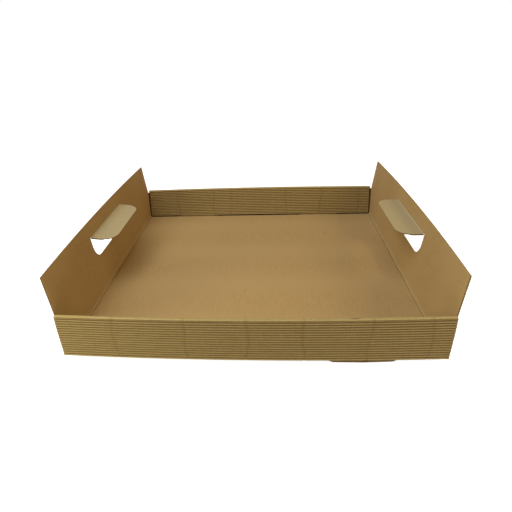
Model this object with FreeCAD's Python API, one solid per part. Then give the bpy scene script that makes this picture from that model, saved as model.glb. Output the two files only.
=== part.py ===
import FreeCAD, Part
import math
import os

# Shallow tray folded from one sheet of open fluted kraft board: smooth liner
# inside, flutes outside.
# X runs across the tray from one high side panel to the other, Y from the front
# wall to the back wall, Z up. The origin is under the middle of the tray, at the
# lowest point of the hanging tab. All sizes are in millimetres.

# Plan and heights, to the outside of the sheet
tray_width = 420.0
tray_depth = 407.0
wall_height = 54.0
panel_height = 100.0

# The sheet and its flutes
sheet_thickness = 1.6
flute_depth = 1.1
flute_pitch = 3.2
crest_share = 0.4

# Folds: outer radius of a creased fold, and how far the flutes stay off it
fold_radius = 1.8
fold_steps = 3
crushed_strip = 3.0
fold_bead_radius = 0.8
fold_bead_offset = 0.5
fold_bead_steps = 4

# Rolled front and back walls
roll_depth = 5.2
slit_height = 2.4
inner_panel_end_gap = 2.0
inner_panel_taper = 3.0
wall_bow = 5.5
foot_bow_share = 0.9
wall_bow_stations = (0.0, 0.5, 1.0)

# High side panels, which flare and bow outwards
panel_flare = 4.0
panel_bow = 5.0
panel_end_inset = 5.4
panel_inner_steps = 8

# Corner flaps, folded off the side panels and held inside the rolled walls
corner_flap_length = 45.0
corner_flap_play = 0.2
corner_flap_top_drop = 4.5
corner_flap_floor_gap = 0.4

# Tabs on the inner wall panels: a neck above the floor and a wider bevelled head
# through a slot in it. The front right one has slipped down and hangs askew.
tab_offset = {"front": 121.5, "back": 115.0}
tab_neck_width = 65.0
tab_head_width = 78.0
tab_shoulder_depth = 0.3
tab_bevel_width = 7.0
tab_bevel_height = 2.6
tab_drop = 2.0
hanging_tab_drop = 5.6
hanging_tab_rise = 1.2
hanging_tab_lean = 3.0
slot_play_along = 0.8
slot_play_across = 0.4

# Hand holes and the flaps that stay hinged on their top edges
hole_length = 125.0
hole_bottom = 47.5
hole_top = 80.0
hole_corner_radius = 20.0
flap_play = 0.5
hinge_play = 0.3
flap_droop = {"left": 6.0, "right": 0.0}

# Levels and edges that several pieces share
floor_under = hanging_tab_drop
floor_top = floor_under + sheet_thickness
wall_top = floor_under + wall_height
panel_top = floor_under + panel_height
panel_start = floor_under + crushed_strip
inner_panel_edge = floor_top + slit_height
half_width = tray_width / 2
half_depth = tray_depth / 2
panel_end = half_depth - panel_end_inset
bend_line = half_width - fold_radius - panel_end_inset
fold_inner_radius = max(fold_radius - sheet_thickness, 0.05)
sides = {"left": -1, "right": 1}


def fluted_run(start, end, valley_way):
    """Points of a row of flutes between two crests; valleys lie along valley_way."""
    along = end.sub(start)
    count = max(1, round(along.Length / flute_pitch))
    step = along.multiply(1.0 / count)
    half_crest = crest_share / 2
    points = []
    for index in range(count):
        for place, depth in ((half_crest, 0), (0.5, flute_depth), (1 - half_crest, 0)):
            points.append(start + step * (index + place) + valley_way * depth)
    return points


def arc_points(centre, radius, first_angle, last_angle, steps):
    """Points on an arc given by a 2D centre and angles in degrees."""
    points = []
    for index in range(steps + 1):
        angle = math.radians(first_angle + (last_angle - first_angle) * index / steps)
        points.append((centre[0] + radius * math.cos(angle), centre[1] + radius * math.sin(angle)))
    return points


def closed_wire(points):
    return Part.makePolygon(list(points) + [points[0]])


def prism(points, travel):
    return Part.Face(closed_wire(points)).extrude(travel)


def box_between(low, high):
    low, high = FreeCAD.Vector(*low), FreeCAD.Vector(*high)
    size = high - low
    return Part.makeBox(size.x, size.y, size.z, low)


def mirrored_to_back(shape):
    return shape.mirror(FreeCAD.Vector(0, 0, 0), FreeCAD.Vector(0, 1, 0))


def wall_bow_at(x):
    """Outward bow of a rolled wall's top edge at x: straight runs between stations."""
    share = min(abs(x) / bend_line, 1.0)
    for near, far in zip(wall_bow_stations, wall_bow_stations[1:]):
        if share <= far:
            bow_near, bow_far = wall_bow * (1 - near ** 2), wall_bow * (1 - far ** 2)
            return bow_near + (bow_far - bow_near) * (share - near) / (far - near)
    return 0.0


def wall_shift(x, z, foot_share=0.0):
    """How far the bow moves a point of the front wall outwards; foot_share of it low down."""
    rise = (z - inner_panel_edge) / (wall_top - inner_panel_edge)
    rise = min(max(rise, 0.0), 1.0)
    return wall_bow_at(x) * (foot_share + (1 - foot_share) * rise)


def wall_point(x, inset, z):
    """A point of the front wall, inset measured from its unbowed outer face."""
    foot_share = foot_bow_share if inset < roll_depth / 2 else 0.0
    return FreeCAD.Vector(x, -half_depth + inset - wall_shift(x, z, foot_share), z)


def wall_section(x):
    """Section of the front wall at x: outer panel, narrow roll and inner panel."""
    low_fold = floor_under + fold_radius
    high_fold = wall_top - fold_radius
    inner_fold = roll_depth - fold_radius
    smooth_back = roll_depth - sheet_thickness
    outline = [(panel_end_inset, floor_under)]
    outline += arc_points((fold_radius, low_fold), fold_radius, 270, 180, fold_steps)
    outline += fluted_outline((0, low_fold), (0, high_fold), (1, 0))
    outline += arc_points((fold_radius, high_fold), fold_radius, 180, 90, fold_steps)
    outline += arc_points((inner_fold, high_fold), fold_radius, 90, 0, fold_steps)
    outline += fluted_outline((roll_depth, high_fold), (roll_depth, inner_panel_edge), (-1, 0))
    outline += [(roll_depth, inner_panel_edge), (smooth_back, inner_panel_edge)]
    outline += arc_points((inner_fold, high_fold), fold_inner_radius, 0, 90, 1)
    outline += arc_points((fold_radius, high_fold), fold_inner_radius, 90, 180, 1)
    outline += arc_points((fold_radius, low_fold), fold_inner_radius, 180, 270, 1)
    outline += [(panel_end_inset, floor_top)]
    return closed_wire([wall_point(x, inset, z) for inset, z in outline])


def fluted_outline(start, end, valley_way):
    """The same flutes as fluted_run, for a 2D outline."""
    points = fluted_run(FreeCAD.Vector(*start, 0), FreeCAD.Vector(*end, 0), FreeCAD.Vector(*valley_way, 0))
    return [(point.x, point.y) for point in points]


def front_wall():
    """The rolled front wall with the notches beside its inner panel."""
    right = [bend_line * share for share in wall_bow_stations[1:]] + [half_width]
    stations = [-x for x in reversed(right)] + [0.0] + right
    wall = Part.makeLoft([wall_section(x) for x in stations], True, True)
    return wall.cut([inner_panel_notch(side) for side in sides.values()])


def inner_panel_notch(side):
    """The room left beside an end of the inner panel, which narrows towards its top."""
    low, high = floor_top + corner_flap_floor_gap, wall_top - fold_radius
    edge = half_width - sheet_thickness - inner_panel_end_gap
    outline = [(edge, low), (half_width + 1, low), (half_width + 1, high), (edge - inner_panel_taper, high)]
    start = -half_depth + roll_depth - sheet_thickness - corner_flap_play / 2
    depth = sheet_thickness + corner_flap_play / 2 + 1
    points = [FreeCAD.Vector(side * x, start, z) for x, z in outline]
    return prism(points, FreeCAD.Vector(0, depth, 0))


def floor_panel():
    """The floor between the two rolled walls, with its flutes underneath."""
    start_x = -half_width + crushed_strip
    front = FreeCAD.Vector(start_x, -panel_end, floor_under)
    back = FreeCAD.Vector(start_x, panel_end, floor_under)
    rise = FreeCAD.Vector(0, 0, sheet_thickness)
    outline = [front] + fluted_run(front, back, FreeCAD.Vector(0, 0, 1)) + [back, back + rise, front + rise]
    return prism(outline, FreeCAD.Vector(-2 * start_x, 0, 0))


def side_fold(side):
    """The creased strip along which a side panel folds up, with its bead inside."""
    centre = (half_width - fold_radius, floor_under + fold_radius)
    strip_start = half_width - crushed_strip
    bead_centre = (half_width - sheet_thickness - fold_bead_offset, floor_top + fold_bead_offset)
    overhang = math.degrees(math.asin(fold_bead_offset / fold_bead_radius))
    outline = [(strip_start, floor_under)]
    outline += arc_points(centre, fold_radius, 270, 360, fold_steps)
    outline += [(half_width, panel_start), (half_width - sheet_thickness, panel_start)]
    outline += arc_points(bead_centre, fold_bead_radius, 90 - overhang, 180 + overhang, fold_bead_steps)
    outline += [(strip_start, floor_top)]
    points = [FreeCAD.Vector(side * x, -panel_end, z) for x, z in outline]
    return prism(points, FreeCAD.Vector(0, 2 * panel_end, 0))


def panel_outer_x(y, z):
    """Distance from the middle of the tray to a side panel's outer crests."""
    rise = (z - panel_start) / (panel_top - panel_start)
    return half_width + rise * (panel_flare + panel_bow * (1 - (y / panel_end) ** 2))


def side_panel_section(side, z):
    """Section of a side panel at height z: flutes outside, liner inside."""
    front = FreeCAD.Vector(0, -panel_end, z)
    back = FreeCAD.Vector(0, panel_end, z)
    points = [front] + fluted_run(front, back, FreeCAD.Vector(-1, 0, 0)) + [back]
    outline = [FreeCAD.Vector(side * (panel_outer_x(p.y, z) + p.x), p.y, z) for p in points]
    for index in range(panel_inner_steps + 1):
        y = panel_end - 2 * panel_end * index / panel_inner_steps
        outline.append(FreeCAD.Vector(side * (panel_outer_x(y, z) - sheet_thickness), y, z))
    return closed_wire(outline)


def hole_outline(play, top):
    """Hand hole or flap outline as (y, z) wire parts: straight top, rounded low corners."""
    half = hole_length / 2 - play
    low = floor_under + hole_bottom + play
    radius = hole_corner_radius - play
    diagonal = radius * math.sqrt(0.5)
    corner_y, corner_z = half - radius, low + radius

    def at(y, z):
        return FreeCAD.Vector(0, y, z)

    edges = [
        Part.LineSegment(at(-half, top), at(-half, corner_z)),
        Part.Arc(at(-half, corner_z), at(-corner_y - diagonal, corner_z - diagonal), at(-corner_y, low)),
        Part.LineSegment(at(-corner_y, low), at(corner_y, low)),
        Part.Arc(at(corner_y, low), at(corner_y + diagonal, corner_z - diagonal), at(half, corner_z)),
        Part.LineSegment(at(half, corner_z), at(half, top)),
        Part.LineSegment(at(half, top), at(-half, top)),
    ]
    return Part.Wire([edge.toShape() for edge in edges])


def side_panel(side):
    """A high side panel with its hand hole."""
    panel = Part.makeLoft([side_panel_section(side, z) for z in (panel_start, panel_top)], True, True)
    hole = Part.Face(hole_outline(0, floor_under + hole_top))
    hole.translate(FreeCAD.Vector(side * (half_width - 2 * sheet_thickness), 0, 0))
    reach = panel_flare + panel_bow + 4 * sheet_thickness
    return panel.cut(hole.extrude(FreeCAD.Vector(side * reach, 0, 0)))


def corner_flap_section(side, z):
    """Section of a front corner flap at height z, from its fold to its free end."""
    outer_x = panel_outer_x(panel_end, z)
    outer_inset = sheet_thickness + corner_flap_play
    inner_inset = outer_inset + sheet_thickness
    centre = (outer_x - fold_radius, outer_inset + fold_radius)
    free_end = half_width - corner_flap_length
    outline = [(outer_x, panel_end_inset)]
    outline += arc_points(centre, fold_radius, 360, 270, fold_steps)
    outline += [(bend_line, outer_inset), (free_end, outer_inset), (free_end, inner_inset)]
    outline += [(bend_line, inner_inset)]
    outline += arc_points(centre, fold_inner_radius, 270, 360, 1)
    outline += [(outer_x - sheet_thickness, panel_end_inset)]
    points = []
    for x, inset in outline:
        shift = wall_shift(x, z) if x <= bend_line else 0.0
        points.append(FreeCAD.Vector(side * x, -half_depth + inset - shift, z))
    return closed_wire(points)


def front_corner_flap(side):
    low = floor_top + corner_flap_floor_gap
    middle = inner_panel_edge
    high = wall_top - corner_flap_top_drop
    return Part.makeLoft([corner_flap_section(side, z) for z in (low, middle, high)], True, True)


def tab_outline(centre_x, drop, far_rise):
    """A tab seen from the front: neck, shoulders, and a head with bevelled corners."""
    half_neck, half_head = tab_neck_width / 2, tab_head_width / 2
    shoulder = floor_top - tab_shoulder_depth
    low = floor_under - drop
    corner = half_head - tab_bevel_width
    outline = [
        (-half_neck, inner_panel_edge),
        (-half_neck, shoulder),
        (-half_head, shoulder),
        (-half_head, low + tab_bevel_height),
        (-corner, low),
        (0, low),
        (corner, low + far_rise),
        (half_head, low + far_rise + tab_bevel_height),
        (half_head, shoulder),
        (half_neck, shoulder),
        (half_neck, inner_panel_edge),
    ]
    return [FreeCAD.Vector(centre_x + x, -half_depth, z) for x, z in outline]


def front_tab(centre_x, drop, far_rise=0.0, lean=0.0):
    """A tab of fluted sheet below the front wall's inner panel; it may lean out under the floor."""
    start_x = centre_x - tab_head_width / 2
    crest_y = -half_depth + roll_depth
    top = FreeCAD.Vector(start_x, crest_y, inner_panel_edge)
    bend = FreeCAD.Vector(start_x, crest_y, floor_under)
    tip = FreeCAD.Vector(start_x, crest_y - lean, floor_under - drop)
    forward = FreeCAD.Vector(0, -1, 0)
    section = [top] + fluted_run(top, bend, forward) + [bend] + fluted_run(bend, tip, forward) + [tip]
    section += [corner + forward * sheet_thickness for corner in (tip, bend, top)]
    shape = prism(tab_outline(centre_x, drop, far_rise), FreeCAD.Vector(0, 2 * roll_depth, 0))
    return prism(section, FreeCAD.Vector(tab_head_width, 0, 0)).common(shape)


def front_slot(centre_x):
    """The cut-out that a tab leaves the floor through."""
    half = tab_head_width / 2 + slot_play_along
    smooth = -half_depth + roll_depth - sheet_thickness
    return box_between(
        (centre_x - half, smooth - slot_play_across, floor_under - 1),
        (centre_x + half, smooth + sheet_thickness + slot_play_across, floor_top + slit_height / 2),
    )


def tray_sheet():
    """The whole folded sheet as one solid."""
    wall = front_wall()
    pieces = [wall, mirrored_to_back(wall)]
    for side in sides.values():
        corner_flap = front_corner_flap(side)
        pieces += [side_fold(side), side_panel(side), corner_flap, mirrored_to_back(corner_flap)]
    sheet = floor_panel().fuse(pieces)
    front_x, back_x = tab_offset["front"], tab_offset["back"]
    slots = []
    tabs = [
        front_tab(sides["left"] * front_x, tab_drop),
        front_tab(sides["right"] * front_x, hanging_tab_drop, hanging_tab_rise, hanging_tab_lean),
    ]
    for side in sides.values():
        slots += [front_slot(side * front_x), mirrored_to_back(front_slot(side * back_x))]
        tabs.append(mirrored_to_back(front_tab(side * back_x, tab_drop)))
    return sheet.cut(slots).fuse(tabs)


def hinge_line(side):
    """X and Z of the line that a handle flap turns on: the hole's top edge, inside."""
    z = floor_under + hole_top
    return side * (panel_outer_x(hole_length / 2, z) - sheet_thickness), z


def handle_flap(name):
    """A handle flap, built hanging from its hinge line and then swung inwards."""
    side = sides[name]
    hinge_x, hinge_z = hinge_line(side)
    half = hole_length / 2 - flap_play
    front = FreeCAD.Vector(side * sheet_thickness, -half, 0)
    back = FreeCAD.Vector(side * sheet_thickness, half, 0)
    outline = [front] + fluted_run(front, back, FreeCAD.Vector(-side, 0, 0)) + [back]
    outline += [FreeCAD.Vector(0, half, 0), FreeCAD.Vector(0, -half, 0)]
    height = hole_top - hole_bottom
    strip = prism(outline, FreeCAD.Vector(0, 0, -height))
    face = Part.Face(hole_outline(flap_play, hinge_z - hinge_play))
    face.translate(FreeCAD.Vector(-2 * sheet_thickness, 0, -hinge_z))
    flap = strip.common(face.extrude(FreeCAD.Vector(4 * sheet_thickness, 0, 0)))
    swing = 90 - flap_droop[name]
    flap.rotate(FreeCAD.Vector(0, 0, 0), FreeCAD.Vector(0, 1, 0), side * swing)
    flap.translate(FreeCAD.Vector(hinge_x, 0, hinge_z))
    return flap


def single_solid(shape):
    """The one solid of a finished shape, or the shape itself if it is in pieces."""
    return shape.Solids[0] if len(shape.Solids) == 1 else shape


def main():
    nodes = {
        "tray_sheet": tray_sheet(),
        "left_handle_flap": handle_flap("left"),
        "right_handle_flap": handle_flap("right"),
    }
    os.makedirs("parts", exist_ok=True)
    for name, shape in nodes.items():
        single_solid(shape).exportStep(f"parts/{name}.step")
        box = shape.BoundBox
        print(name, len(shape.Solids), "solid,", len(shape.Faces), "faces, valid", shape.isValid())
        print("  x", round(box.XMin, 2), round(box.XMax, 2), "y", round(box.YMin, 2), round(box.YMax, 2))
        print("  z", round(box.ZMin, 2), round(box.ZMax, 2), "volume", round(shape.Volume, 1))
    for name, side in sides.items():
        hinge_x, hinge_z = hinge_line(side)
        print(name, "hinge line at x", round(hinge_x, 3), "z", round(hinge_z, 3))


main()
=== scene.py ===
import logging
import math
from collections.abc import Callable, Sequence
from dataclasses import dataclass, field
from enum import Enum
from functools import partial

import bpy
from mathutils import Matrix, Vector


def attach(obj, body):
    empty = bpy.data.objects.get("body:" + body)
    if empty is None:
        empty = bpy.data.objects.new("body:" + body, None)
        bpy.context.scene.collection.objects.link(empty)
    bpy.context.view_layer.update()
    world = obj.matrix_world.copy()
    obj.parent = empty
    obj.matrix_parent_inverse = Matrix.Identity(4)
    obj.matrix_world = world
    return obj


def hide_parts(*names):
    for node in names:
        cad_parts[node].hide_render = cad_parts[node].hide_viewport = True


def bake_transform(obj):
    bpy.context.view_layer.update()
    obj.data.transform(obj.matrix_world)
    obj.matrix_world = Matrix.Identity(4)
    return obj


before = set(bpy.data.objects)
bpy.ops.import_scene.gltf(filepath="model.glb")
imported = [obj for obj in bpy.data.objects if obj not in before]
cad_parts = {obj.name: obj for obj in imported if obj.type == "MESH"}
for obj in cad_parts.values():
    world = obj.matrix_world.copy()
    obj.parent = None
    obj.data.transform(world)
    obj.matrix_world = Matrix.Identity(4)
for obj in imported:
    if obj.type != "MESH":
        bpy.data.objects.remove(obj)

logging.basicConfig(level=logging.INFO, format="%(message)s")
log = logging.getLogger("tray")

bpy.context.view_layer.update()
MM = 0.001

Colour = tuple[float, float, float, float]
Point = tuple[float, float, float]


def srgb(red: int, green: int, blue: int) -> Colour:
    """A linear colour from 0 to 255 screen values.

    Args:
        red: Red, 0 to 255.
        green: Green, 0 to 255.
        blue: Blue, 0 to 255.

    Returns:
        The linear colour with an alpha of 1.
    """
    def linear(value: int) -> float:
        """One screen value as a linear share."""
        share = value / 255
        return share / 12.92 if share <= 0.04045 else ((share + 0.055) / 1.055) ** 2.4
    return linear(red), linear(green), linear(blue), 1.0


def spread(start: float, end: float, steps: int) -> list[float]:
    """Even stations from start to end, both included."""
    return [start + (end - start) * index / steps for index in range(steps + 1)]


class Side(Enum):
    """Left or right of the tray, as the sign of X."""

    LEFT = -1
    RIGHT = 1

    @property
    def label(self) -> str:
        """The word that piece names start with."""
        return self.name.lower()


class End(Enum):
    """Front or back of the tray, as the sign of Y."""

    FRONT = -1
    BACK = 1

    @property
    def label(self) -> str:
        """The word that piece names start with."""
        return self.name.lower()


class Slot(Enum):
    """The record's material slots."""

    BOARD = "kraft_board"
    FLAP = "kraft_flap"


class Layer(Enum):
    """A paper of the board, and the way its thickness grows: to the flutes or to the liner."""

    LINER = 1
    FLUTES = -1


@dataclass(frozen=True)
class Board:
    """Open fluted board: a smooth liner with one fluted paper glued to it. Millimetres."""

    thickness: float = 1.6
    flute_depth: float = 1.1
    pitch: float = 3.2
    paper: float = 0.25
    glue_overlap: float = 0.03
    rib_steps: int = 8

    def ribs(self, length: float) -> int:
        """How many whole flutes fill a stretch of that length."""
        return max(1, round(length / self.pitch))

    def valley(self, along: float, length: float) -> float:
        """Depth share at a place on a stretch that starts and ends on a crest."""
        return 0.5 - 0.5 * math.cos(2 * math.pi * along / length * self.ribs(length))

    def stations(self, start: float, end: float) -> list[float]:
        """Places that follow every flute of a stretch."""
        return spread(start, end, self.ribs(abs(end - start)) * self.rib_steps)

    def height(self, valley: float, share: float = 1.0) -> float:
        """Height of the fluted paper's outside above the liner's smooth side."""
        return self.thickness - self.flute_depth * valley * share


BOARD = Board()


@dataclass(frozen=True)
class TraySizes:
    """Sizes of the folded tray, in millimetres, the same as in the solids.

    The solids leave out how far the rolled walls pinch in the side panels' ends. The rim's play
    keeps the panels' papers under the solids' top.
    """

    half_width: float = 210.0
    half_depth: float = 203.5
    floor_under: float = 5.6
    wall_height: float = 54.0
    panel_height: float = 100.0
    fold_radius: float = 1.8
    fold_inside: float = 0.2
    crushed_strip: float = 3.0
    bead_radius: float = 0.8
    bead_offset: float = 0.5
    roll_depth: float = 5.2
    slit_height: float = 2.4
    end_gap: float = 2.0
    inner_taper: float = 3.0
    wall_bow: float = 5.5
    foot_bow_share: float = 0.9
    panel_flare: float = 4.0
    panel_bow: float = 5.0
    panel_end_inset: float = 5.4
    pinch_front: float = 1.2
    pinch_back: float = 3.6
    pinch_level: float = 57.0
    rim_play: float = 0.06

    @property
    def floor_top(self) -> float:
        """Level of the floor's smooth side."""
        return self.floor_under + BOARD.thickness

    @property
    def wall_top(self) -> float:
        """Level of the roll's top."""
        return self.floor_under + self.wall_height

    @property
    def panel_top(self) -> float:
        """Level of the high panels' top edges."""
        return self.floor_under + self.panel_height

    @property
    def panel_start(self) -> float:
        """Level at which a side panel rises from its fold."""
        return self.floor_under + self.crushed_strip

    @property
    def inner_edge(self) -> float:
        """Level of the inner wall panel's lower edge."""
        return self.floor_top + self.slit_height

    @property
    def panel_end(self) -> float:
        """Distance from the middle to a side panel's upright edges."""
        return self.half_depth - self.panel_end_inset

    @property
    def bend_line(self) -> float:
        """Distance from the middle at which the walls start to bow."""
        return self.half_width - self.fold_radius - self.panel_end_inset

    def wall_shift(self, x: float, z: float, foot_share: float = 0.0) -> float:
        """How far a rolled wall bows outwards at a place; foot_share of it low down.

        Args:
            x: Place along the wall.
            z: Level.
            foot_share: Share of the bow at the foot.

        Returns:
            The bow in millimetres.
        """
        share = min(abs(x) / self.bend_line, 1.0)
        rise = (z - self.inner_edge) / (self.wall_top - self.inner_edge)
        rise = min(max(rise, 0.0), 1.0)
        return self.wall_bow * (1 - share ** 2) * (foot_share + (1 - foot_share) * rise)

    def panel_outer_x(self, y: float, z: float) -> float:
        """Distance from the middle to a side panel's crests.

        Args:
            y: Place along the panel.
            z: Level.

        Returns:
            The distance in millimetres.
        """
        rise = (z - self.panel_start) / (self.panel_top - self.panel_start)
        bowed = self.panel_flare + self.panel_bow * (1 - (y / self.panel_end) ** 2)
        return self.half_width + rise * bowed - self.pinch(y, z)

    def pinch(self, y: float, z: float) -> float:
        """How far the rolled walls hold a side panel's ends in, most at their top.

        Args:
            y: Place along the panel.
            z: Level.

        Returns:
            The pinch in millimetres.
        """
        most = self.pinch_back if y > 0 else self.pinch_front
        if z < self.pinch_level:
            rise = (z - self.panel_start) / (self.pinch_level - self.panel_start)
        else:
            rise = (self.panel_top - z) / (self.panel_top - self.pinch_level)
        return most * max(rise, 0.0) * (y / self.panel_end) ** 8


TRAY = TraySizes()


@dataclass(frozen=True)
class Station:
    """One place on a folded path: its outer and smooth sides and how far its flutes stand."""

    outer: tuple[float, float]
    smooth: tuple[float, float]
    valley: float = 0.0

    def at(self, height: float) -> tuple[float, float]:
        """The place at a height above the smooth side.

        Args:
            height: Millimetres above the smooth side, towards the outer one.

        Returns:
            The two coordinates.
        """
        share = height / BOARD.thickness
        return (
            self.smooth[0] + (self.outer[0] - self.smooth[0]) * share,
            self.smooth[1] + (self.outer[1] - self.smooth[1]) * share,
        )


def fold_stations(centre: tuple[float, float], first: float, last: float, steps: int = 6) -> list[Station]:
    """Stations round a creased fold, between two angles in degrees.

    Args:
        centre: The fold's centre.
        first: Angle of the first station.
        last: Angle of the last station.
        steps: Stretches between them.

    Returns:
        The stations in order.
    """
    found = []
    for angle in spread(math.radians(first), math.radians(last), steps):
        way = math.cos(angle), math.sin(angle)
        outer = tuple(c + TRAY.fold_radius * w for c, w in zip(centre, way))
        smooth = tuple(c + TRAY.fold_inside * w for c, w in zip(centre, way))
        found.append(Station(outer, smooth))
    return found


class NodeKit:
    """Short-hand for adding and joining the nodes of one tree."""

    def __init__(self, tree: bpy.types.NodeTree) -> None:
        """Takes the tree that it works on."""
        self.tree = tree

    def add(self, kind: str, **settings: object) -> bpy.types.Node:
        """Adds a node.

        Args:
            kind: The node's type name without its prefix.
            settings: The node's own settings by name.

        Returns:
            The node.
        """
        node = self.tree.nodes.new(f"ShaderNode{kind}")
        for name, value in settings.items():
            setattr(node, name, value)
        return node

    def link(self, source: bpy.types.NodeSocket, target: bpy.types.NodeSocket) -> None:
        """Joins two sockets."""
        self.tree.links.new(source, target)

    def feed(self, socket: bpy.types.NodeSocket, value: object) -> None:
        """Links a socket, or sets its value.

        Args:
            socket: The socket to fill.
            value: Another node's socket, or a plain value.
        """
        if isinstance(value, bpy.types.NodeSocket):
            self.link(value, socket)
        else:
            socket.default_value = value

    def math(
        self, operation: str, first: object, second: object = 0.0, third: object = 0.0,
    ) -> bpy.types.NodeSocket:
        """A maths step on one, two or three values, kept between 0 and 1 if it ends in _CLAMP.

        Args:
            operation: Blender's name of the step, with _CLAMP after it to keep it in range.
            first: Socket or value.
            second: Socket or value.
            third: Socket or value.

        Returns:
            The result.
        """
        node = self.add("Math", operation=operation.removesuffix("_CLAMP"))
        node.use_clamp = operation.endswith("_CLAMP")
        for socket, value in zip(node.inputs, (first, second, third)):
            self.feed(socket, value)
        return node.outputs[0]

    def noise(
        self, vector: object, scale: float, detail: float = 3.0, rough: float = 0.55,
    ) -> bpy.types.NodeSocket:
        """Noise at a scale, as a value about 0.5.

        Args:
            vector: Where the noise is read.
            scale: Its scale.
            detail: Its octaves.
            rough: Strength of the finer octaves.

        Returns:
            The noise value.
        """
        node = self.add("TexNoise")
        self.feed(node.inputs["Vector"], vector)
        node.inputs["Scale"].default_value = scale
        node.inputs["Detail"].default_value = detail
        node.inputs["Roughness"].default_value = rough
        return node.outputs["Fac"]

    def ramp(self, value: object, low: float, high: float) -> bpy.types.NodeSocket:
        """A value stretched from low to high onto 0 to 1, softly.

        Args:
            value: Socket or value.
            low: What becomes 0.
            high: What becomes 1.

        Returns:
            The stretched value.
        """
        node = self.add("MapRange", interpolation_type="SMOOTHSTEP")
        self.feed(node.inputs["Value"], value)
        node.inputs["From Min"].default_value = low
        node.inputs["From Max"].default_value = high
        return node.outputs["Result"]

    def mix(self, share: object, first: object, second: object) -> bpy.types.NodeSocket:
        """Two colours mixed by a share.

        Args:
            share: Share of the second colour.
            first: Socket or colour.
            second: Socket or colour.

        Returns:
            The mixed colour.
        """
        node = self.add("Mix", data_type="RGBA")
        self.feed(node.inputs[0], share)
        self.feed(node.inputs[6], first)
        self.feed(node.inputs[7], second)
        return node.outputs[2]

    def painted(self, name: str) -> bpy.types.NodeSocket:
        """A value stored on the piece's vertices."""
        return self.add("Attribute", attribute_name=name).outputs["Fac"]


SPECK_BROWN = srgb(70, 46, 24)
FLECK_BROWN = srgb(84, 54, 26)
PRESSED_BROWN = srgb(104, 74, 38)
# Cream of rubbed folds, also a painted highlight along fold beads and creases.
RUB_AND_HIGHLIGHT_CREAM = srgb(206, 178, 126)
# Painted shade: the dark colour put into slits, gaps, dents, crease grooves and shaded undersides.
PAINTED_SHADE_DARK = srgb(34, 20, 10)


class PaperGroups:
    """The effects that the papers share, each built once."""

    def __init__(self) -> None:
        """Builds the groups."""
        self.fibres = self.build_fibres()
        self.wear = self.build_wear()

    @staticmethod
    def start(
        name: str, inputs: dict[str, str], outputs: dict[str, str],
    ) -> tuple[bpy.types.NodeTree, NodeKit, dict[str, bpy.types.Node]]:
        """A new group with its sockets and its two end nodes.

        Args:
            name: The group's name.
            inputs: Kind of each input by its label.
            outputs: Kind of each output by its label.

        Returns:
            The group, its node kit and its end nodes, named in and out.
        """
        tree = bpy.data.node_groups.new(name, "ShaderNodeTree")
        for label, kind in inputs.items():
            tree.interface.new_socket(label, in_out="INPUT", socket_type=f"NodeSocket{kind}")
        for label, kind in outputs.items():
            tree.interface.new_socket(label, in_out="OUTPUT", socket_type=f"NodeSocket{kind}")
        ends = {"in": tree.nodes.new("NodeGroupInput"), "out": tree.nodes.new("NodeGroupOutput")}
        return tree, NodeKit(tree), ends

    def build_fibres(self) -> bpy.types.NodeTree:
        """Fibre mottle, streaks along the paper's run, clouds, specks and relief.

        Returns:
            The group.
        """
        outputs = {name: "Float" for name in ("Mottle", "Streak", "Cloud", "Speck", "Relief")}
        tree, kit, ends = self.start("kraft_fibres", {"Place": "Vector", "Run": "Vector"}, outputs)
        place, run = ends["in"].outputs["Place"], ends["in"].outputs["Run"]
        fine = kit.noise(run, 1.0, 4.0, 0.65)
        coarse = kit.noise(place, 0.42, 3.0, 0.6)
        mottle = kit.math("ADD", kit.math("MULTIPLY", fine, 0.45), kit.math("MULTIPLY", coarse, 0.55))
        streak = kit.noise(run, 0.28, 2.0, 0.5)
        cloud = kit.noise(place, 0.022, 2.0, 0.5)
        speck = kit.ramp(kit.noise(place, 0.85, 1.0, 0.4), 0.795, 0.83)
        grain = kit.math("MULTIPLY", kit.noise(place, 2.2, 2.0), 0.4)
        found = {
            "Mottle": kit.ramp(mottle, 0.36, 0.64),
            "Streak": kit.ramp(streak, 0.35, 0.68),
            "Cloud": kit.ramp(cloud, 0.35, 0.65),
            "Speck": speck,
            "Relief": kit.math("ADD", kit.math("MULTIPLY", fine, 0.6), grain),
        }
        for name, value in found.items():
            kit.link(value, ends["out"].inputs[name])
        return tree

    def build_wear(self) -> bpy.types.NodeTree:
        """Colours that follow the board's shape: painted shade in the flutes' valleys, pressed lines, rubbed
        folds with a painted highlight, and painted shade in slits, gaps and creases.

        Returns:
            The group.
        """
        inputs = {name: "Color" for name in ("Paper", "Valley")}
        inputs |= {name: "Float" for name in ("Ridge", "Press", "Rub", "Gap")}
        tree, kit, ends = self.start("board_wear", inputs, {"Colour": "Color"})
        taken = ends["in"].outputs
        # Painted shade: the valley colour mixed into the flutes' hollows.
        hollow = kit.math("SUBTRACT_CLAMP", 1.0, taken["Ridge"])
        colour = kit.mix(kit.math("POWER", hollow, 1.3), taken["Paper"], taken["Valley"])
        colour = kit.mix(kit.math("MULTIPLY", taken["Press"], 0.3), colour, PRESSED_BROWN)
        # Rubbed folds, lightened further by a painted highlight.
        colour = kit.mix(kit.math("MULTIPLY", taken["Rub"], 0.6), colour, RUB_AND_HIGHLIGHT_CREAM)
        # Painted shade: darkens slits, gaps, dents, crease grooves and shaded undersides.
        colour = kit.mix(taken["Gap"], colour, PAINTED_SHADE_DARK)
        kit.link(colour, ends["out"].inputs["Colour"])
        return tree


class Run(Enum):
    """The way the paper ran through its mill: scales that stretch the fibres along it."""

    ALONG_Y = (1.6, 0.16, 1.6)
    ALONG_Z = (1.6, 1.6, 0.16)


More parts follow.
